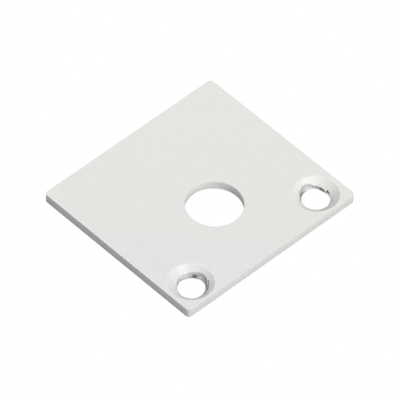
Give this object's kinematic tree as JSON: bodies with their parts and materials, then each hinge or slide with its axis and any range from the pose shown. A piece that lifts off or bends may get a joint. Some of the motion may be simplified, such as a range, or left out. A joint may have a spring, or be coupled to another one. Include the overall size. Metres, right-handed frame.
{
  "type": "profile end cap",
  "caption": "Flat rectangular plate that closes the end of an aluminium profile, with a round cable hole and countersunk screw holes near an edge.",
  "frame": {"origin": "middle of the plate's outline, on the back face that lies against the profile", "axes": "+Z out of the front face, into which the screw seats are cut; +X along the row of screws, on the longer side; the screws sit by the -Y edge"},
  "size_m": [0.035, 0.032, 0.0016],
  "materials": {
    "white_coat": "matt off-white powder coat on aluminium sheet, with bare metal showing at the small ends of the screw seats"
  },
  "bodies": {
    "root": {"end_cap_plate": "white_coat"}
  },
  "joints": []
}
